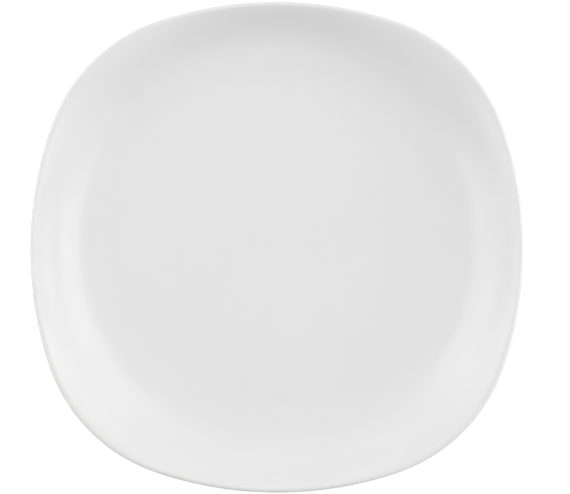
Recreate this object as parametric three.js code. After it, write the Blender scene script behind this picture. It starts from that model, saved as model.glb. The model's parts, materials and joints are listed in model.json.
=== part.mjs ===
// Soft-square dessert plate in white porcelain: a pressed body on a round foot ring, and two coats of glaze.
// Millimetres, +Z up. The origin lies on the table, under the middle of the plate.
import * as THREE from "three";

// Plan of the rim, over the glaze: four shallow side arcs that run into four tighter corner arcs
const RIM_HALF_WIDTH = 100;
const SIDE_ARC_RADIUS = 152.6;
const CORNER_ARC_RADIUS = 69.4;
const SPREAD_POWER = 2.8; // how late the round well turns into the soft square, on the way out to the rim

// Section of the eating face, in steps from the edge of the rim inwards
const FLARE_WIDTH = 6; // edge of the rim to the steepest ring of the wall
const WALL_WIDTH = 11; // steepest ring to the corner where the wall's line meets the floor's
const WELL_BLEND = 18.5; // that corner to the edge of the flat floor
const WELL_FULLNESS = 0.72; // how far the blend reaches into the corner, from 0 to 1

// Heights
const RIM_HEIGHT = 19.5; // table to the top of the rim, over the glaze
const FLARE_DROP = 3.9; // top of the rim down to the steepest ring
const FOOT_HEIGHT = 2.3; // table to the underside of the floor

// Porcelain
const FLOOR_THICKNESS = 3.7;
const LIP_THICKNESS = 1.8;
const LIP_SLOPE = THREE.MathUtils.degToRad(36); // slope of the face where the rounded lip begins
const FLARE_FULLNESS = 1 / 3; // how far the flare holds the slopes at its two ends, as a share of its length

// Foot ring, set in under the edge of the flat floor
const FOOT_INSET = 1.2; // edge of the flat floor to the root of the foot
const FOOT_LAND = 2.2; // flat band that stands on the table
const FOOT_FILLET = 1.1; // hollow rounding at the root
const FOOT_EDGE = 0.5; // rounding beside the flat band
const FOOT_DRAFT = THREE.MathUtils.degToRad(10); // lean of the foot's sides

// Glaze
const GLAZE_THICKNESS = 0.3;

// Facets
const TURN_SEGMENTS = 64;
const WALL_STEPS = 6;
const FLARE_STEPS = 3;
const LIP_STEPS = 10;
const FILLET_STEPS = 2;
const EDGE_STEPS = 2;
const MERGE_DISTANCE = 1e-3; // points of the section nearer than this are one point
const QUAD_INDICES = 6; // two triangles, whose first four indices are corners a, b, d and c

// Radii and heights of the bare porcelain, worked out from the sizes above
const lipRadius = LIP_THICKNESS / 2;
const steepRadius = RIM_HALF_WIDTH - FLARE_WIDTH;
const wellRadius = steepRadius - WALL_WIDTH;
const floorRadius = wellRadius - WELL_BLEND;
const floorTop = FOOT_HEIGHT + FLOOR_THICKNESS;
const floorEdge = new THREE.Vector2(floorRadius, floorTop);
const wellCorner = new THREE.Vector2(wellRadius, floorTop);
const steepPoint = new THREE.Vector2(steepRadius, RIM_HEIGHT - FLARE_DROP);
const lipCentre = new THREE.Vector2(RIM_HALF_WIDTH, RIM_HEIGHT).subScalar(GLAZE_THICKNESS + lipRadius);
const lipTangent = new THREE.Vector2(Math.cos(LIP_SLOPE), Math.sin(LIP_SLOPE));
const lipStart = new THREE.Vector2(-lipTangent.y, lipTangent.x).multiplyScalar(lipRadius).add(lipCentre);

// Points along a curve of the section, each with the normal that points out of the porcelain.
// The section is travelled with the porcelain on the right: out over the face, round the lip and in below.
function samples(curve, steps) {
  return Array.from({ length: steps + 1 }, (_, i) => {
    const tangent = curve.getTangent(i / steps);
    return { point: curve.getPoint(i / steps), normal: new THREE.Vector2(-tangent.y, tangent.x) };
  });
}

function line(from, to) {
  return samples(new THREE.LineCurve(from, to), 1);
}

function arc(centre, radius, startAngle, endAngle, steps) {
  const clockwise = endAngle < startAngle;
  return samples(
    new THREE.EllipseCurve(centre.x, centre.y, radius, radius, startAngle, endAngle, clockwise),
    steps,
  );
}

// Points moved along their normals by a distance, which may change from point to point
function offset(stretch, distanceAt) {
  return stretch.map(({ point, normal }, i) => ({
    point: point.clone().addScaledVector(normal, distanceAt(i)),
    normal,
  }));
}

// One list of points from several stretches, without the points that neighbours share
function joined(...stretches) {
  const points = [];
  for (const { point } of stretches.flat()) {
    const last = points.at(-1);
    if (!last || last.distanceTo(point) > MERGE_DISTANCE) points.push(point);
  }
  return points;
}

// The concave wall rises from the floor to the steepest ring, and the flare eases off towards the lip
function wallSamples() {
  const towards = (from) => from.clone().lerp(wellCorner, WELL_FULLNESS);
  const wall = new THREE.CubicBezierCurve(floorEdge, towards(floorEdge), towards(steepPoint), steepPoint);
  const steepTangent = steepPoint.clone().sub(wellCorner).normalize();
  const handle = steepPoint.distanceTo(lipStart) * FLARE_FULLNESS;
  const flare = new THREE.CubicBezierCurve(
    steepPoint,
    steepPoint.clone().addScaledVector(steepTangent, handle),
    lipStart.clone().addScaledVector(lipTangent, -handle),
    lipStart,
  );
  return [...samples(wall, WALL_STEPS), ...samples(flare, FLARE_STEPS).slice(1)];
}

// The underside follows the face at a thickness that tapers from the floor to the lip
function undersideOf(face) {
  const thicknessAt = (i) => THREE.MathUtils.lerp(FLOOR_THICKNESS, LIP_THICKNESS, i / (face.length - 1));
  return offset(face, (i) => -thicknessAt(i))
    .map(({ point, normal }) => ({ point, normal: normal.clone().negate() }))
    .reverse();
}

// One side of the foot ring, as if it faced away from the axis: the root's fillet, then the edge at the table
function footSide(rootRadius) {
  const filletCentre = new THREE.Vector2(rootRadius, FOOT_HEIGHT - FOOT_FILLET);
  const fillet = arc(filletCentre, FOOT_FILLET, Math.PI / 2, Math.PI - FOOT_DRAFT, FILLET_STEPS);
  const sideTop = fillet.at(-1).point;
  const edgeTop = FOOT_EDGE * (1 - Math.sin(FOOT_DRAFT));
  const lean = (sideTop.y - edgeTop) * Math.tan(FOOT_DRAFT);
  const edgeCentre = new THREE.Vector2(sideTop.x - lean - FOOT_EDGE * Math.cos(FOOT_DRAFT), FOOT_EDGE);
  const edge = arc(edgeCentre, FOOT_EDGE, -FOOT_DRAFT, -Math.PI / 2, EDGE_STEPS);
  return { fillet, edge, landRadius: edgeCentre.x };
}

// The same stretch on the other side of an upright line, travelled the other way
function mirrored(stretch, middleRadius) {
  return stretch
    .map(({ point, normal }) => ({
      point: new THREE.Vector2(2 * middleRadius - point.x, point.y),
      normal: new THREE.Vector2(-normal.x, normal.y),
    }))
    .reverse();
}

// Distance from the axis to the far side of a circle, along a ray in plan
function reach(angle, centre, radius) {
  const ray = new THREE.Vector2(Math.cos(angle), Math.sin(angle));
  return centre.dot(ray) + Math.sqrt(radius ** 2 - centre.cross(ray) ** 2);
}

// Distance from the axis to the edge of the rim: an eighth of the outline, mirrored round the plate
function rimRadius(angle) {
  const quarter = Math.PI / 2;
  const folded = Math.abs(angle - quarter * Math.round(angle / quarter));
  const sideCentre = new THREE.Vector2(RIM_HALF_WIDTH - SIDE_ARC_RADIUS, 0);
  const between = SIDE_ARC_RADIUS - CORNER_ARC_RADIUS;
  const jointNormal = quarter / 2 + Math.asin(sideCentre.x / between / Math.SQRT2);
  const cornerCentre = new THREE.Vector2().setScalar(between * Math.sin(jointNormal));
  const joint = new THREE.Vector2(Math.cos(jointNormal), Math.sin(jointNormal))
    .multiplyScalar(CORNER_ARC_RADIUS)
    .add(cornerCentre);
  return folded < joint.angle()
    ? reach(folded, sideCentre, SIDE_ARC_RADIUS)
    : reach(folded, cornerCentre, CORNER_ARC_RADIUS);
}

// Cuts each four-sided facet along its shorter diagonal, so that pieces which touch share their facets
function cutShorter(geometry) {
  const position = geometry.getAttribute("position");
  const corners = geometry.getIndex().array;
  const distance = (i, j) =>
    new THREE.Vector3()
      .fromBufferAttribute(position, i)
      .distanceTo(new THREE.Vector3().fromBufferAttribute(position, j));
  for (let k = 0; k < corners.length; k += QUAD_INDICES) {
    const [a, b, d, c] = corners.subarray(k);
    if (distance(a, c) < distance(b, d)) corners.set([a, b, c, a, c, d], k);
  }
}

// A section turned about the axis, then drawn out between the round well and the crest of the soft-square lip.
// The turned faces point outwards when the section runs from the base up.
function turnedAndSpread(section) {
  const upwards = section.toReversed();
  const geometry = new THREE.LatheGeometry(upwards, TURN_SEGMENTS).rotateX(Math.PI / 2);
  const position = geometry.getAttribute("position");
  const place = new THREE.Vector2();
  for (let i = 0; i < position.count; i++) {
    place.set(position.getX(i), position.getY(i));
    const radius = place.length();
    const share = THREE.MathUtils.clamp((radius - wellRadius) / (lipCentre.x - wellRadius), 0, 1);
    const cornerReach = rimRadius(place.angle()) - RIM_HALF_WIDTH;
    place.setLength(radius + cornerReach * share ** SPREAD_POWER);
    position.setXY(i, place.x, place.y);
  }
  cutShorter(geometry);
  geometry.computeVertexNormals();
  return geometry;
}

// Section of the porcelain, stretch by stretch
const axisPoint = (height) => new THREE.Vector2(0, height);
const floorFace = line(axisPoint(floorTop), floorEdge);
const wallFace = wallSamples();
const lip = arc(lipCentre, lipRadius, Math.PI / 2 + LIP_SLOPE, LIP_SLOPE - Math.PI / 2, LIP_STEPS);
const underside = undersideOf(wallFace);
const footRoot = floorRadius - FOOT_INSET;
const shelf = line(new THREE.Vector2(floorRadius, FOOT_HEIGHT), new THREE.Vector2(footRoot, FOOT_HEIGHT));
const outerFoot = footSide(footRoot);
const landMiddle = outerFoot.landRadius - FOOT_LAND / 2;
const innerEdge = mirrored(outerFoot.edge, landMiddle);
const innerFillet = mirrored(outerFoot.fillet, landMiddle);
const ceiling = line(innerFillet.at(-1).point, axisPoint(FOOT_HEIGHT));

// The glaze lies on the porcelain up to the roots of the foot ring, whose sides and flat band stay bare
const outerCoat = [...floorFace, ...wallFace, ...lip, ...underside, ...shelf, ...outerFoot.fillet];
const baseCoat = [...innerFillet, ...ceiling];
const glazed = (stretch) => offset(stretch, () => GLAZE_THICKNESS);

const porcelain = new THREE.MeshStandardMaterial({ color: 0xeeebe4, roughness: 0.8, metalness: 0 });
const glaze = new THREE.MeshStandardMaterial({ color: 0xe8e8e7, roughness: 0.22, metalness: 0 });

function piece(name, section, material) {
  const mesh = new THREE.Mesh(turnedAndSpread(section), material);
  mesh.name = name;
  return mesh;
}

const plate = new THREE.Group();
plate.add(
  piece("porcelain_body", joined(outerCoat, outerFoot.edge, innerEdge, baseCoat), porcelain),
  piece("outer_glaze", joined(glazed(outerCoat), outerCoat.toReversed()), glaze),
  piece("base_glaze", joined(baseCoat.toReversed(), glazed(baseCoat)), glaze),
);

export default plate;
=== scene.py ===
"""Looks of a soft-square dessert plate in white porcelain.

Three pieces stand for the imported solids: the pressed porcelain body, whose bare foot ring shows
below, the coat of glaze that runs over the eating face and round the lip to the foot, and the coat
inside the foot ring. All sizes are in metres, and the origin lies on the table under the middle of
the plate.
"""

from __future__ import annotations

import json
import logging
import math
from abc import ABC, abstractmethod
from dataclasses import dataclass, field
from enum import Enum
from functools import cached_property
from typing import Any, ClassVar, Union

import bmesh
import bpy
from mathutils import Matrix, Vector


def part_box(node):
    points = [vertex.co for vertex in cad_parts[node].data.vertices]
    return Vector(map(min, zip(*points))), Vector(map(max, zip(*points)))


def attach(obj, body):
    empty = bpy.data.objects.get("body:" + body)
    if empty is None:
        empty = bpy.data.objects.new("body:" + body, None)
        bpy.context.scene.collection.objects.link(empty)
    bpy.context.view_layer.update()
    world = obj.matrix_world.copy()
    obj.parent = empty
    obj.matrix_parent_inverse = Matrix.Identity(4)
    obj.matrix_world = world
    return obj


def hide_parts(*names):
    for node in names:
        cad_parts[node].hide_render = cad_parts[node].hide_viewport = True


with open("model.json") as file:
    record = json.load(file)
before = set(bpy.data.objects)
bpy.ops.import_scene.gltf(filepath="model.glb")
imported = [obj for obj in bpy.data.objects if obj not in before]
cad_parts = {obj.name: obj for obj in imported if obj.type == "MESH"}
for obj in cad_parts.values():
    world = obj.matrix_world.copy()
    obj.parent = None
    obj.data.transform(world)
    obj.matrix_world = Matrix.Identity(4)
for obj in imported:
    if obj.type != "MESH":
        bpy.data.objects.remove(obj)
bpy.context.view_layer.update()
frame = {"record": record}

BODY = "root"
QUARTER_TURN = math.pi / 2

WHITE = (1.0, 1.0, 1.0, 1.0)
IN_PLAN = (1.0, 1.0, 0.0)

Colour = tuple[float, float, float]
Value = Union["Socket", float]

log = logging.getLogger("dessert_plate")


class Node(Enum):
    """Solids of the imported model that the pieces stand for."""

    PORCELAIN_BODY = "porcelain_body"
    OUTER_GLAZE = "outer_glaze"
    BASE_GLAZE = "base_glaze"


class Slot(Enum):
    """Material slots of the record."""

    PORCELAIN = "porcelain"
    GLAZE = "glaze"


# Section of the plate


@dataclass(frozen=True)
class SectionPoint:
    """Point of the section, with the way out of the porcelain there.

    In both vectors X runs out from the axis and Y runs up.
    """

    place: Vector
    normal: Vector

    def moved(self, distance: float) -> SectionPoint:
        """The point at a distance along its normal."""
        return SectionPoint(self.place + self.normal * distance, self.normal)


Stretch = list[SectionPoint]


def line(start: Vector, end: Vector, steps: int) -> Stretch:
    """Samples a straight stretch of the section.

    Args:
        start: First point.
        end: Last point.
        steps: Number of equal steps.

    Returns:
        The points, with the porcelain on the right of the way along them.
    """
    way = (end - start).normalized()
    normal = Vector((-way.y, way.x))
    return [SectionPoint(start.lerp(end, i / steps), normal) for i in range(steps + 1)]


def arc(centre: Vector, radius: float, first: float, last: float, steps: int) -> Stretch:
    """Samples a round stretch of the section.

    Args:
        centre: Centre of the circle.
        radius: Its radius.
        first: Angle of the first point, in radians.
        last: Angle of the last point. Where it is smaller, the porcelain lies inside the circle.
        steps: Number of equal steps.

    Returns:
        The points, with the porcelain on the right of the way along them.
    """
    outward = 1 if last < first else -1
    rays = []
    for i in range(steps + 1):
        angle = first + (last - first) * i / steps
        rays.append(Vector((math.cos(angle), math.sin(angle))))
    return [SectionPoint(centre + ray * radius, ray * outward) for ray in rays]


def bezier(start: Vector, leave: Vector, arrive: Vector, end: Vector, steps: int) -> Stretch:
    """Samples a cubic Bezier stretch of the section.

    Args:
        start: First point.
        leave: Handle that the curve leaves towards.
        arrive: Handle that the curve arrives from.
        end: Last point.
        steps: Number of equal steps of the parameter.

    Returns:
        The points, with the porcelain on the right of the way along them.
    """
    points = []
    for i in range(steps + 1):
        t = i / steps
        s = 1 - t
        place = start * s**3 + leave * (3 * s * s * t) + arrive * (3 * s * t * t) + end * t**3
        way = (leave - start) * s * s + (arrive - leave) * (2 * s * t) + (end - arrive) * t * t
        way.normalize()
        points.append(SectionPoint(place, Vector((-way.y, way.x))))
    return points


def mirrored(stretch: Stretch, middle: float) -> Stretch:
    """Reflects a stretch in an upright line.

    Args:
        stretch: Points of one side of the foot ring.
        middle: Radius of the upright line.

    Returns:
        The points of the other side, travelled the other way.
    """
    return [
        SectionPoint(Vector((2 * middle - p.place.x, p.place.y)), Vector((-p.normal.x, p.normal.y)))
        for p in reversed(stretch)
    ]


@dataclass(frozen=True)
class PlateForm:
    """Form that the body and its coats of glaze share: a section, and the plan of the rim.

    The section is turned about the axis, and beyond the well it is drawn out to the soft square.
    """

    rim_half_width: float
    rim_height: float
    floor_height: float
    foot_height: float
    glaze_thickness: float
    side_arc_radius: float = 0.1526
    corner_arc_radius: float = 0.0694
    spread_power: float = 2.8
    flare_width: float = 0.006
    wall_width: float = 0.011
    well_blend: float = 0.0185
    well_fullness: float = 0.72
    flare_drop: float = 0.0039
    flare_fullness: float = 1 / 3
    lip_thickness: float = 0.0018
    lip_slope: float = math.radians(36)
    foot_inset: float = 0.0012
    foot_land: float = 0.0022
    foot_fillet: float = 0.0011
    foot_edge: float = 0.0005
    foot_draft: float = math.radians(10)
    floor_steps: int = 10
    wall_steps: int = 24
    flare_steps: int = 9
    lip_steps: int = 18
    shelf_steps: int = 2
    fillet_steps: int = 10
    edge_steps: int = 6
    ceiling_steps: int = 9

    @classmethod
    def from_frame(cls) -> PlateForm:
        """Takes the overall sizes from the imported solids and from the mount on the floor.

        Returns:
            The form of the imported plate.
        """
        glaze_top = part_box(Node.OUTER_GLAZE.value)[1]
        porcelain_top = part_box(Node.PORCELAIN_BODY.value)[1]
        base_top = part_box(Node.BASE_GLAZE.value)[1]
        mounts = {mount["name"]: mount for mount in frame["record"]["mounts"]}
        glaze_thickness = glaze_top.z - porcelain_top.z
        return cls(
            rim_half_width=glaze_top.x,
            rim_height=glaze_top.z,
            floor_height=mounts["well_floor"]["pos_m"][2] - glaze_thickness,
            foot_height=base_top.z,
            glaze_thickness=glaze_thickness,
        )

    @property
    def steep_radius(self) -> float:
        """Radius of the steepest ring of the wall."""
        return self.rim_half_width - self.flare_width

    @property
    def well_radius(self) -> float:
        """Radius where the line of the wall meets the line of the floor."""
        return self.steep_radius - self.wall_width

    @property
    def floor_radius(self) -> float:
        """Radius of the flat floor."""
        return self.well_radius - self.well_blend

    @property
    def crest_radius(self) -> float:
        """Radius of the crest of the lip. From here out the section keeps its shape."""
        return self.rim_half_width - self.glaze_thickness - self.lip_thickness / 2

    @property
    def foot_root(self) -> float:
        """Radius where the fillet of the foot ring meets the underside."""
        return self.floor_radius - self.foot_inset

    @cached_property
    def floor_face(self) -> Stretch:
        """The flat floor of the well, from the axis out."""
        middle = Vector((0, self.floor_height))
        return line(middle, Vector((self.floor_radius, self.floor_height)), self.floor_steps)

    @cached_property
    def wall_face(self) -> Stretch:
        """The concave wall up to its steepest ring, then the flare that eases off to the lip.

        Returns:
            The points from the edge of the floor to the start of the lip.
        """
        floor_edge = Vector((self.floor_radius, self.floor_height))
        well_corner = Vector((self.well_radius, self.floor_height))
        steep = Vector((self.steep_radius, self.rim_height - self.flare_drop))
        leave = floor_edge.lerp(well_corner, self.well_fullness)
        arrive = steep.lerp(well_corner, self.well_fullness)
        wall = bezier(floor_edge, leave, arrive, steep, self.wall_steps)
        lip_start = self.lip[0].place
        lip_way = Vector((math.cos(self.lip_slope), math.sin(self.lip_slope)))
        handle = (lip_start - steep).length * self.flare_fullness
        leave = steep + (steep - well_corner).normalized() * handle
        flare = bezier(steep, leave, lip_start - lip_way * handle, lip_start, self.flare_steps)
        return wall + flare[1:]

    @cached_property
    def lip(self) -> Stretch:
        """The half-round lip.

        Returns:
            The points from the face over the top of the lip to the underside.
        """
        radius = self.lip_thickness / 2
        inset = self.glaze_thickness + radius
        centre = Vector((self.rim_half_width - inset, self.rim_height - inset))
        first = QUARTER_TURN + self.lip_slope
        return arc(centre, radius, first, self.lip_slope - QUARTER_TURN, self.lip_steps)

    @cached_property
    def underside(self) -> Stretch:
        """The underside of the rim and wall, whose thickness grows from the lip to the floor.

        Returns:
            The points from the lip to the flat strip outside the foot ring.
        """
        face = self.wall_face
        floor_thickness = self.floor_height - self.foot_height
        taper = (self.lip_thickness - floor_thickness) / (len(face) - 1)
        below = [p.moved(-floor_thickness - taper * i) for i, p in enumerate(face)]
        return [SectionPoint(p.place, -p.normal) for p in reversed(below)]

    @cached_property
    def shelf(self) -> Stretch:
        """The flat strip of the underside outside the foot ring."""
        outer = Vector((self.floor_radius, self.foot_height))
        return line(outer, Vector((self.foot_root, self.foot_height)), self.shelf_steps)

    @cached_property
    def outer_fillet(self) -> Stretch:
        """The hollow rounding at the outer root of the foot ring.

        Returns:
            The points from the underside to the sloping side of the foot ring.
        """
        centre = Vector((self.foot_root, self.foot_height - self.foot_fillet))
        last = math.pi - self.foot_draft
        return arc(centre, self.foot_fillet, QUARTER_TURN, last, self.fillet_steps)

    @cached_property
    def outer_edge(self) -> Stretch:
        """The rounded edge at the outer foot of the ring.

        Returns:
            The points from the sloping side to the band that stands on the table.
        """
        side_top = self.outer_fillet[-1].place
        edge_top = self.foot_edge * (1 - math.sin(self.foot_draft))
        lean = (side_top.y - edge_top) * math.tan(self.foot_draft)
        centre_radius = side_top.x - lean - self.foot_edge * math.cos(self.foot_draft)
        centre = Vector((centre_radius, self.foot_edge))
        return arc(centre, self.foot_edge, -self.foot_draft, -QUARTER_TURN, self.edge_steps)

    @property
    def land_middle(self) -> float:
        """Radius of the middle of the band that stands on the table."""
        return self.outer_edge[-1].place.x - self.foot_land / 2

    @property
    def inner_edge(self) -> Stretch:
        """The rounded edge on the inner side of the foot ring."""
        return mirrored(self.outer_edge, self.land_middle)

    @property
    def inner_fillet(self) -> Stretch:
        """The hollow rounding at the inner root of the foot ring."""
        return mirrored(self.outer_fillet, self.land_middle)

    @property
    def ceiling(self) -> Stretch:
        """The base inside the foot ring, from its edge to the axis."""
        edge = self.inner_fillet[-1].place
        return line(edge, Vector((0, self.foot_height)), self.ceiling_steps)

    @property
    def outer_coat(self) -> Stretch:
        """The stretch of the section under the outer glaze."""
        face = self.floor_face + self.wall_face + self.lip
        return face + self.underside + self.shelf + self.outer_fillet

    @property
    def base_coat(self) -> Stretch:
        """The stretch of the section under the base glaze."""
        return self.inner_fillet + self.ceiling

    def rim_radius(self, angle: float) -> float:
        """Measures the plan of the rim: side arcs that run into tighter corner arcs.

        Args:
            angle: Direction in plan, in radians from +X.

        Returns:
            The distance from the axis to the edge of the rim.
        """
        folded = abs(angle - QUARTER_TURN * round(angle / QUARTER_TURN))
        ray = Vector((math.cos(folded), math.sin(folded)))
        side_centre = Vector((self.rim_half_width - self.side_arc_radius, 0))
        between = self.side_arc_radius - self.corner_arc_radius
        joint = QUARTER_TURN / 2 + math.asin(side_centre.x / between / math.sqrt(2))
        corner_offset = between * math.sin(joint)
        corner_centre = Vector((corner_offset, corner_offset))
        joint_ray = Vector((math.cos(joint), math.sin(joint)))
        joint_point = corner_centre + joint_ray * self.corner_arc_radius
        on_side = folded < math.atan2(joint_point.y, joint_point.x)
        centre = side_centre if on_side else corner_centre
        radius = self.side_arc_radius if on_side else self.corner_arc_radius
        return centre.dot(ray) + math.sqrt(radius**2 - centre.cross(ray) ** 2)

    def spread(self, radius: float, angle: float) -> float:
        """Draws a round radius out towards the soft-square rim.

        Args:
            radius: Distance from the axis on the round section.
            angle: Direction in plan, in radians from +X.

        Returns:
            The distance from the axis on the plate.
        """
        share = (radius - self.well_radius) / (self.crest_radius - self.well_radius)
        share = min(1.0, max(0.0, share))
        return radius + (self.rim_radius(angle) - self.rim_half_width) * share**self.spread_power


# Shader nodes


class Socket:
    """Output of a shader node. Arithmetic on it adds Math nodes."""

    def __init__(self, graph: Graph, link: bpy.types.NodeSocket) -> None:
        """Keeps the graph that new nodes go into, and the socket itself."""
        self.graph = graph
        self.link = link

    def _math(self, operation: str, first: Value, second: Value) -> Socket:
        """Adds one Math node on two values."""
        inputs = {0: first, 1: second}
        return self.graph.node("ShaderNodeMath", "Value", {"operation": operation}, inputs)

    def __add__(self, other: Value) -> Socket:
        """Sum with a value on the right."""
        return self._math("ADD", self, other)

    def __radd__(self, other: Value) -> Socket:
        """Sum with a value on the left."""
        return self._math("ADD", other, self)

    def __sub__(self, other: Value) -> Socket:
        """Difference with a value on the right."""
        return self._math("SUBTRACT", self, other)

    def __rsub__(self, other: Value) -> Socket:
        """Difference with a value on the left."""
        return self._math("SUBTRACT", other, self)

    def __mul__(self, other: Value) -> Socket:
        """Product with a value on the right."""
        return self._math("MULTIPLY", self, other)

    def __rmul__(self, other: Value) -> Socket:
        """Product with a value on the left."""
        return self._math("MULTIPLY", other, self)


class Graph:
    """Node tree of a material or of the world."""

    def __init__(self, owner: bpy.types.ID) -> None:
        """Turns the owner's nodes on and empties its tree.

        Args:
            owner: The material or world.
        """
        owner.use_nodes = True
        self.tree = owner.node_tree
        self.tree.nodes.clear()

    def node(
        self,
        kind: str,
        output: str | None = None,
        settings: dict[str, Any] | None = None,
        inputs: dict[str | int, Any] | None = None,
    ) -> Socket | None:
        """Adds one node.

        Args:
            kind: Blender's name of the node type.
            output: Name or identifier of the output wanted, or None where nothing follows the node.
            settings: Properties of the node, set before its sockets.
            inputs: Values or links by the name, identifier or place of the input.

        Returns:
            The output wanted, if there is one.
        """
        made = self.tree.nodes.new(kind)
        for key, value in (settings or {}).items():
            setattr(made, key, value)
        for key, value in (inputs or {}).items():
            target = self.find(made.inputs, key)
            if isinstance(value, Socket):
                self.tree.links.new(value.link, target)
            else:
                target.default_value = value
        return None if output is None else Socket(self, self.find(made.outputs, output))

    @staticmethod
    def find(sockets: bpy.types.bpy_prop_collection, key: str | int) -> bpy.types.NodeSocket:
        """Picks a socket.

        Args:
            sockets: Inputs or outputs of a node.
            key: Place, identifier or name of the socket. An identifier goes before a name.

        Returns:
            The socket.
        """
        if isinstance(key, int):
            return sockets[key]
        return next((s for s in sockets if s.identifier == key), None) or sockets[key]

    def blend(self, mask: Value, first: Colour | Socket, second: Colour | Socket) -> Socket:
        """Mixes two colours.

        Args:
            mask: Share of the second colour.
            first: Colour where the mask is 0.
            second: Colour where the mask is 1.

        Returns:
            The mixed colour.
        """
        ends = [end if isinstance(end, Socket) else (*end, 1.0) for end in (first, second)]
        inputs = {"Factor_Float": mask, "A_Color": ends[0], "B_Color": ends[1]}
        return self.node("ShaderNodeMix", "Result_Color", {"data_type": "RGBA"}, inputs)

    def noise(self, size: float, detail: float) -> Socket:
        """Adds noise fixed to the plate.

        Args:
            size: Width of its largest features, in metres.
            detail: Number of finer layers on top.

        Returns:
            Values about 0.5.
        """
        inputs = {"Vector": self.place(), "Scale": 1 / size, "Detail": detail}
        return self.node("ShaderNodeTexNoise", "Fac", None, inputs)

    def flecks(self, size: float, spacing: float) -> Socket:
        """Adds round flecks scattered over the plate.

        Args:
            size: Radius of a fleck.
            spacing: Usual distance from one fleck to the next.

        Returns:
            1 in the middle of a fleck, 0 beyond its edge.
        """
        inputs = {"Vector": self.place(), "Scale": 1 / spacing}
        distance = self.node("ShaderNodeTexVoronoi", "Distance", None, inputs)
        return 1 - self.ramp(distance, 0.0, size / spacing)

    def place(self) -> Socket:
        """Place on the plate, in metres."""
        return self.node("ShaderNodeTexCoord", "Object")

    def height(self) -> Socket:
        """Height above the table."""
        return self.node("ShaderNodeSeparateXYZ", "Z", None, {"Vector": self.place()})

    def radius(self) -> Socket:
        """Measures out from the axis of the plate.

        Returns:
            The distance in plan.
        """
        inputs = {0: self.place(), 1: IN_PLAN}
        flat = self.node("ShaderNodeVectorMath", "Vector", {"operation": "MULTIPLY"}, inputs)
        return self.node("ShaderNodeVectorMath", "Value", {"operation": "LENGTH"}, {0: flat})

    def ramp(self, value: Value, low: float, high: float) -> Socket:
        """Eases a value from 0 to 1.

        Args:
            value: What is measured.
            low: Value that gives 0.
            high: Value that gives 1.

        Returns:
            The eased share.
        """
        settings = {"interpolation_type": "SMOOTHSTEP"}
        inputs = {"Value": value, "From Min": low, "From Max": high}
        return self.node("ShaderNodeMapRange", "Result", settings, inputs)

    def bump(self, height: Socket, depth: float) -> Socket:
        """Turns a height between 0 and 1 into a normal, for relief of a depth in metres."""
        return self.node("ShaderNodeBump", "Normal", None, {"Height": height, "Distance": depth})

    def seen(self) -> Socket:
        """1 on the rays that come straight from the camera, 0 on those that gather light."""
        return self.node("ShaderNodeLightPath", "Is Camera Ray")

    def mix(self, share: Value, first: Socket, second: Socket) -> Socket:
        """Mixes two shaders by the share of the second."""
        return self.node("ShaderNodeMixShader", "Shader", None, {0: share, 1: first, 2: second})

    def surface(self, shader: Socket) -> None:
        """Ends a material in its output."""
        self.node("ShaderNodeOutputMaterial", None, None, {"Surface": shader})


# Finishes


@dataclass(frozen=True)
class GlazeFinish:
    """Clear gloss glaze over white porcelain, faintly uneven in tone; thin on the lip, with painted
    highlight.
    """

    rim_height: float
    name: str = "gloss_glaze"
    colour: Colour = (0.809, 0.809, 0.807)
    pale_colour: Colour = (0.814, 0.814, 0.813)
    # Paler colour of the thin glaze on the lip crest, partly a painted highlight.
    thin_glaze_highlight_colour: Colour = (0.818, 0.817, 0.813)
    fleck_colour: Colour = (0.7, 0.69, 0.67)
    cloud_size: float = 0.045
    cloud_detail: float = 3.0
    patch_edges: tuple[float, float] = (0.3, 0.7)
    fleck_spacing: float = 0.011
    fleck_size: float = 0.00016
    lip_band: float = 0.0004
    roughness: float = 0.2
    roughness_range: float = 0.05
    smear_size: float = 0.018
    smear_detail: float = 4.0
    peel_size: float = 0.0032
    peel_detail: float = 1.0
    peel_depth: float = 0.000004
    wave_size: float = 0.03
    wave_detail: float = 0.0
    wave_share: float = 3.0
    ior: float = 1.5

    def material(self) -> bpy.types.Material:
        """Builds the material.

        Returns:
            The glaze, in the plate's own coordinates.
        """
        made = bpy.data.materials.new(self.name)
        graph = Graph(made)
        clouds = graph.ramp(graph.noise(self.cloud_size, self.cloud_detail), *self.patch_edges)
        tone = graph.blend(clouds, self.colour, self.pale_colour)
        # Painted highlight: the top of the lip turns paler, where the glaze is also thin.
        crest_highlight = graph.ramp(graph.height(), self.rim_height - self.lip_band, self.rim_height)
        tone = graph.blend(crest_highlight, tone, self.thin_glaze_highlight_colour)
        flecks = graph.flecks(self.fleck_size, self.fleck_spacing)
        tone = graph.blend(flecks, tone, self.fleck_colour)
        smears = graph.ramp(graph.noise(self.smear_size, self.smear_detail), *self.patch_edges)
        waves = graph.noise(self.wave_size, self.wave_detail) * self.wave_share
        relief = graph.noise(self.peel_size, self.peel_detail) + waves
        inputs = {
            "Base Color": tone,
            "Roughness": self.roughness + smears * self.roughness_range,
            "IOR": self.ior,
            "Normal": graph.bump(relief, self.peel_depth),
        }
        graph.surface(graph.node("ShaderNodeBsdfPrincipled", "BSDF", None, inputs))
        return made


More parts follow.
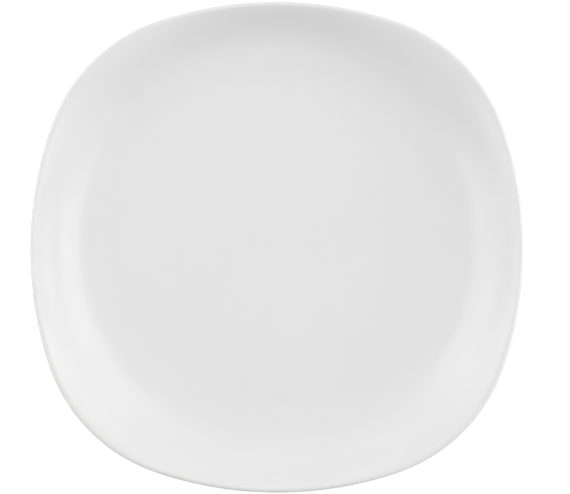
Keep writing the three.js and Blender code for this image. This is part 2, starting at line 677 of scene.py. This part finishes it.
@dataclass(frozen=True)
class BisqueFinish:
    """Bare fired porcelain: matt, fine-grained, and rubbed grey where it slides on the table."""

    name: str = "bare_porcelain"
    colour: Colour = (0.86, 0.83, 0.78)
    deep_colour: Colour = (0.8, 0.765, 0.71)
    rubbed_colour: Colour = (0.6, 0.585, 0.56)
    mottle_size: float = 0.006
    mottle_detail: float = 4.0
    mottle_edges: tuple[float, float] = (0.35, 0.7)
    scuff_size: float = 0.0016
    scuff_detail: float = 5.0
    scuff_edges: tuple[float, float] = (0.42, 0.62)
    scuff_height: float = 0.00035
    scuff_share: float = 0.4
    grain_size: float = 0.00022
    grain_detail: float = 3.0
    grain_depth: float = 0.00002
    roughness: float = 0.72
    roughness_range: float = 0.18

    def material(self) -> bpy.types.Material:
        """Builds the material.

        Returns:
            The bare porcelain, in the plate's own coordinates.
        """
        made = bpy.data.materials.new(self.name)
        graph = Graph(made)
        mottle = graph.ramp(graph.noise(self.mottle_size, self.mottle_detail), *self.mottle_edges)
        tone = graph.blend(mottle, self.colour, self.deep_colour)
        low = 1 - graph.ramp(graph.height(), 0.0, self.scuff_height)
        scuffs = graph.ramp(graph.noise(self.scuff_size, self.scuff_detail), *self.scuff_edges)
        tone = graph.blend(low * scuffs * self.scuff_share, tone, self.rubbed_colour)
        grain = graph.noise(self.grain_size, self.grain_detail)
        inputs = {
            "Base Color": tone,
            "Roughness": self.roughness + grain * self.roughness_range,
            "Normal": graph.bump(grain, self.grain_depth),
        }
        graph.surface(graph.node("ShaderNodeBsdfPrincipled", "BSDF", None, inputs))
        return made


@dataclass(frozen=True)
class FloorFinish:
    """White studio floor that keeps the plate's shadow, and is clear when seen from below."""

    name: str = "white_floor"
    colour: Colour = (0.9, 0.9, 0.9)
    lift: float = 0.4
    shadow_radius: float = 0.3
    white_radius: float = 0.9
    white: float = 1.0

    def material(self) -> bpy.types.Material:
        """Builds the material.

        Returns:
            A matt white, lifted where the camera sees it, and plain white away from the plate.
        """
        made = bpy.data.materials.new(self.name)
        graph = Graph(made)
        matt = graph.node("ShaderNodeBsdfDiffuse", "BSDF", None, {"Color": (*self.colour, 1.0)})
        glow = graph.node("ShaderNodeEmission", "Emission", None, {"Strength": self.lift})
        near = graph.node("ShaderNodeAddShader", "Shader", None, {0: matt, 1: glow})
        far = graph.node("ShaderNodeEmission", "Emission", None, {"Strength": self.white})
        away = graph.ramp(graph.radius(), self.shadow_radius, self.white_radius)
        above = graph.mix(graph.seen(), matt, graph.mix(away, near, far))
        below = graph.node("ShaderNodeNewGeometry", "Backfacing")
        clear = graph.node("ShaderNodeBsdfTransparent", "BSDF")
        graph.surface(graph.mix(below, above, clear))
        return made


# Pieces of the plate

Ring = list[bmesh.types.BMVert]


@dataclass
class PlatePiece(ABC):
    """One solid piece of the plate: a section from axis to axis, turned and drawn out."""

    name: ClassVar[str]
    node: ClassVar[Node]
    slot: ClassVar[Slot]

    form: PlateForm
    finish: bpy.types.Material
    segments: int = 160
    merge_distance: float = 1e-7
    sharp_angle: float = math.radians(40)

    @abstractmethod
    def section(self) -> Stretch:
        """The outline of the piece, which begins and ends on the axis."""

    def distinct(self) -> list[Vector]:
        """Drops the points that neighbouring stretches of the section share.

        Returns:
            The places of the points that are left.
        """
        points: list[Vector] = []
        for p in self.section():
            if not points or (p.place - points[-1]).length > self.merge_distance:
                points.append(p.place)
        return points

    def ring(self, mesh: bmesh.types.BMesh, point: Vector) -> Ring:
        """Adds the vertices of one point of the section.

        Args:
            mesh: Mesh that they go into.
            point: Radius and height on the round section.

        Returns:
            A single vertex on the axis, or one for each segment.
        """
        if point.x < self.merge_distance:
            return [mesh.verts.new((0, 0, point.y))]
        made = []
        for i in range(self.segments):
            angle = math.tau * i / self.segments
            radius = self.form.spread(point.x, angle)
            place = (radius * math.cos(angle), radius * math.sin(angle), point.y)
            made.append(mesh.verts.new(place))
        return made

    def join(self, mesh: bmesh.types.BMesh, first: Ring, second: Ring) -> None:
        """Adds the faces between two neighbouring rings.

        Args:
            mesh: Mesh that they go into.
            first: One ring, or the single vertex of a point on the axis.
            second: The other one.
        """
        for i in range(self.segments):
            j = (i + 1) % self.segments
            around = ((first, i), (first, j), (second, j), (second, i))
            corners = [ring[k % len(ring)] for ring, k in around]
            mesh.faces.new(list(dict.fromkeys(corners)))

    def build(self) -> bpy.types.Object:
        """Makes the closed mesh.

        Returns:
            The object, linked to the scene.
        """
        mesh = bmesh.new()
        rings = [self.ring(mesh, point) for point in self.distinct()]
        for first, second in zip(rings, rings[1:]):
            self.join(mesh, first, second)
        bmesh.ops.recalc_face_normals(mesh, faces=mesh.faces)
        for face in mesh.faces:
            face.smooth = True
        for edge in mesh.edges:
            edge.smooth = edge.calc_face_angle() < self.sharp_angle
        data = bpy.data.meshes.new(self.name)
        mesh.to_mesh(data)
        mesh.free()
        made = bpy.data.objects.new(self.name, data)
        bpy.context.scene.collection.objects.link(made)
        return made

    def dress(self, made: bpy.types.Object) -> None:
        """Gives the piece its finish, hangs it on the body, and hides the solid it stands for.

        Args:
            made: The object of the piece.
        """
        made.data.materials.append(self.finish)
        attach(made, BODY)
        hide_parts(self.node.value)

    def make(self) -> bpy.types.Object:
        """Builds and dresses the piece.

        Returns:
            The finished object.
        """
        made = self.build()
        self.dress(made)
        log.info("%s: %d faces, for %s", made.name, len(made.data.polygons), self.node.value)
        return made


@dataclass
class PorcelainBody(PlatePiece):
    """The pressed body: floor, wall, flared rim and foot ring in one. The foot ring stays bare."""

    name: ClassVar[str] = "pressed_body"
    node: ClassVar[Node] = Node.PORCELAIN_BODY
    slot: ClassVar[Slot] = Slot.PORCELAIN

    def section(self) -> Stretch:
        """The whole outline of the bare porcelain."""
        form = self.form
        return form.outer_coat + form.outer_edge + form.inner_edge + form.base_coat


@dataclass
class GlazeCoat(PlatePiece):
    """A coat of glaze, which thins out in a rounded bead where it meets the bare foot ring."""

    slot: ClassVar[Slot] = Slot.GLAZE

    bead_width: float = 0.0007

    @abstractmethod
    def covered(self) -> Stretch:
        """The porcelain under the coat, from the axis to the foot ring."""

    def thickness(self, distance: float) -> float:
        """Thickness of the coat at a distance from its edge on the foot ring."""
        short = max(0.0, 1 - distance / self.bead_width)
        return self.form.glaze_thickness * math.sqrt(1 - short**2)

    def edge_distances(self, stretch: Stretch) -> list[float]:
        """Measures along the section from the end on the foot ring.

        Args:
            stretch: The covered stretch, which ends on the foot ring.

        Returns:
            The distance of each point.
        """
        distances = [0.0]
        for here, before in zip(reversed(stretch), reversed(stretch[:-1])):
            distances.append(distances[-1] + (here.place - before.place).length)
        return distances[::-1]

    def section(self) -> Stretch:
        """The outline of the coat.

        Returns:
            The points out along the free face to its edge, and back along the porcelain.
        """
        under = self.covered()
        free = [p.moved(self.thickness(d)) for p, d in zip(under, self.edge_distances(under))]
        return free + under[::-1]


@dataclass
class OuterGlaze(GlazeCoat):
    """The coat over the eating face, round the lip and down to the foot ring."""

    name: ClassVar[str] = "glaze_over_face"
    node: ClassVar[Node] = Node.OUTER_GLAZE

    def covered(self) -> Stretch:
        """The face, the lip, the underside and the outer root of the foot ring."""
        return self.form.outer_coat


@dataclass
class BaseGlaze(GlazeCoat):
    """The coat inside the foot ring."""

    name: ClassVar[str] = "glaze_in_foot"
    node: ClassVar[Node] = Node.BASE_GLAZE

    def covered(self) -> Stretch:
        """The base and the inner root of the foot ring."""
        return self.form.base_coat[::-1]


# Studio


@dataclass(frozen=True)
class PhotoCamera:
    """Camera of the photograph, almost straight above the plate, a little towards its near side."""

    frame_px: tuple[int, int] = (570, 494)
    rim_width_px: float = 494.16
    rim_middle_px: tuple[float, float] = (276.99, 244.32)
    elevation: float = math.radians(84.1)
    roll: float = math.radians(0.23)
    distance: float = 1.0
    sensor_mm: float = 36.0

    def place(self, form: PlateForm) -> bpy.types.Object:
        """Puts the camera where the rim has its size and place in the frame.

        Args:
            form: The plate.

        Returns:
            The scene's camera.
        """
        back = Vector((0, -math.cos(self.elevation), math.sin(self.elevation)))
        turn = Matrix.Rotation(self.roll, 3, back)
        right = turn @ Vector((1, 0, 0))
        up = back.cross(right)
        pixel = 2 * form.rim_half_width / self.rim_width_px
        across = (self.rim_middle_px[0] - self.frame_px[0] / 2) * pixel
        above = (self.frame_px[1] / 2 - self.rim_middle_px[1]) * pixel
        data = bpy.data.cameras.new("photo_camera")
        data.sensor_width = self.sensor_mm
        data.lens = self.sensor_mm * self.distance / (pixel * self.frame_px[0])
        made = bpy.data.objects.new("photo_camera", data)
        middle = Vector((0, 0, form.rim_height))
        made.location = middle - right * across - up * above + back * self.distance
        made.rotation_mode = "QUATERNION"
        made.rotation_quaternion = Matrix((right, up, back)).transposed().to_quaternion()
        bpy.context.scene.collection.objects.link(made)
        bpy.context.scene.camera = made
        return made


@dataclass(frozen=True)
class SoftBox:
    """Soft light panel that faces the plate.

    The azimuth is in degrees from +X, and the elevation in degrees above the table.
    """

    name: str
    azimuth: float
    elevation: float
    radiance: float
    width: float
    height: float
    distance: float = 1.5

    def place(self) -> bpy.types.Object:
        """Hangs the panel.

        Returns:
            The lamp, which the camera doesn't see.
        """
        data = bpy.data.lights.new(self.name, "AREA")
        data.shape = "RECTANGLE"
        data.size = self.width
        data.size_y = self.height
        data.energy = self.radiance * math.pi * self.width * self.height
        made = bpy.data.objects.new(self.name, data)
        turn = math.radians(self.azimuth)
        rise = math.radians(self.elevation)
        level = math.cos(rise)
        away = Vector((level * math.cos(turn), level * math.sin(turn), math.sin(rise)))
        made.location = away * self.distance
        made.rotation_mode = "QUATERNION"
        made.rotation_quaternion = away.to_track_quat("Z", "Y")
        made.visible_camera = False
        bpy.context.scene.collection.objects.link(made)
        return made


@dataclass(frozen=True)
class SoftStrip(SoftBox):
    """Narrow panel. It hangs nearer, because lamps that overlap in one plane lose light."""

    width: float = 0.75
    height: float = 0.25
    distance: float = 1.45


@dataclass(frozen=True)
class Studio:
    """White floor, soft panels and an even fill of light."""

    floor_half_width: float = 4.0
    fill: float = 0.398
    background: float = 1.0
    panels: tuple[SoftBox, ...] = (
        SoftBox("right_panel", azimuth=15, elevation=47.5, radiance=1.2, width=0.8, height=0.8),
        SoftBox(
            "right_wing", azimuth=15, elevation=47.5, radiance=1.1, width=1.9, height=0.8, distance=1.55
        ),
        SoftBox("right_skirt", azimuth=15, elevation=25, radiance=0.5, width=1.6, height=0.4),
        SoftBox("low_right_panel", azimuth=0, elevation=10, radiance=1.9, width=2.6, height=0.4),
        SoftStrip("low_right_strip", azimuth=30, elevation=15, radiance=2.1),
        SoftBox("left_panel", azimuth=165, elevation=40, radiance=1.7, width=1.3, height=1.2),
        SoftStrip("left_strip", azimuth=150, elevation=35, radiance=1.2, width=0.6),
        SoftStrip("low_left_strip", azimuth=180, elevation=15, radiance=1.0),
        SoftStrip("left_skirt", azimuth=150, elevation=5, radiance=1.9),
        SoftBox("near_panel", azimuth=285, elevation=62.5, radiance=0.6, width=0.8, height=0.8),
        SoftBox("far_panel", azimuth=90, elevation=40, radiance=0.2, width=2.3, height=1.2),
        SoftStrip("far_strip", azimuth=120, elevation=35, radiance=0.8, width=0.6),
    )
    base_panel: SoftBox = SoftBox(
        "base_panel", azimuth=0, elevation=-90, radiance=2.5, width=0.2, height=0.2, distance=0.3
    )
    floor_finish: FloorFinish = field(default_factory=FloorFinish)

    def lay_floor(self) -> bpy.types.Object:
        """Lays the floor that the plate stands on.

        Returns:
            The floor.
        """
        half = self.floor_half_width
        data = bpy.data.meshes.new("studio_floor")
        corners = [(-half, -half, 0), (half, -half, 0), (half, half, 0), (-half, half, 0)]
        data.from_pydata(corners, [], [(0, 1, 2, 3)])
        made = bpy.data.objects.new("studio_floor", data)
        made.data.materials.append(self.floor_finish.material())
        bpy.context.scene.collection.objects.link(made)
        return made

    def fill_light(self) -> None:
        """Lights from all round, and shows white where the camera sees past the floor."""
        world = bpy.data.worlds.new("studio")
        graph = Graph(world)
        skies = []
        for strength in (self.fill, self.background):
            inputs = {"Color": WHITE, "Strength": strength}
            skies.append(graph.node("ShaderNodeBackground", "Background", None, inputs))
        sky = graph.mix(graph.seen(), *skies)
        graph.node("ShaderNodeOutputWorld", None, None, {"Surface": sky})
        bpy.context.scene.world = world

    def light_base(self, pieces: list[bpy.types.Object]) -> None:
        """Lights the base from under the floor, which lets this lamp through.

        Args:
            pieces: Pieces of the plate, which alone stand in the way of the light.
        """
        lamp = self.base_panel.place()
        lamp.light_linking.blocker_collection = bpy.data.collections.new("plate")
        for piece in pieces:
            lamp.light_linking.blocker_collection.objects.link(piece)

    def set_up(self, pieces: list[bpy.types.Object]) -> None:
        """Makes the floor, the lamps and the fill.

        Args:
            pieces: Pieces of the plate that stands in the studio.
        """
        self.lay_floor()
        for panel in self.panels:
            panel.place()
        self.light_base(pieces)
        self.fill_light()
        bpy.context.scene.view_settings.view_transform = "Standard"


def main() -> None:
    """Builds the plate, then the studio round it."""
    logging.basicConfig(level=logging.INFO, format="%(message)s")
    form = PlateForm.from_frame()
    PhotoCamera().place(form)
    bare = BisqueFinish().material()
    glaze = GlazeFinish(form.rim_height).material()
    pieces = [
        PorcelainBody(form, bare).make(),
        OuterGlaze(form, glaze).make(),
        BaseGlaze(form, glaze).make(),
    ]
    Studio().set_up(pieces)


if __name__ == "__main__":
    main()
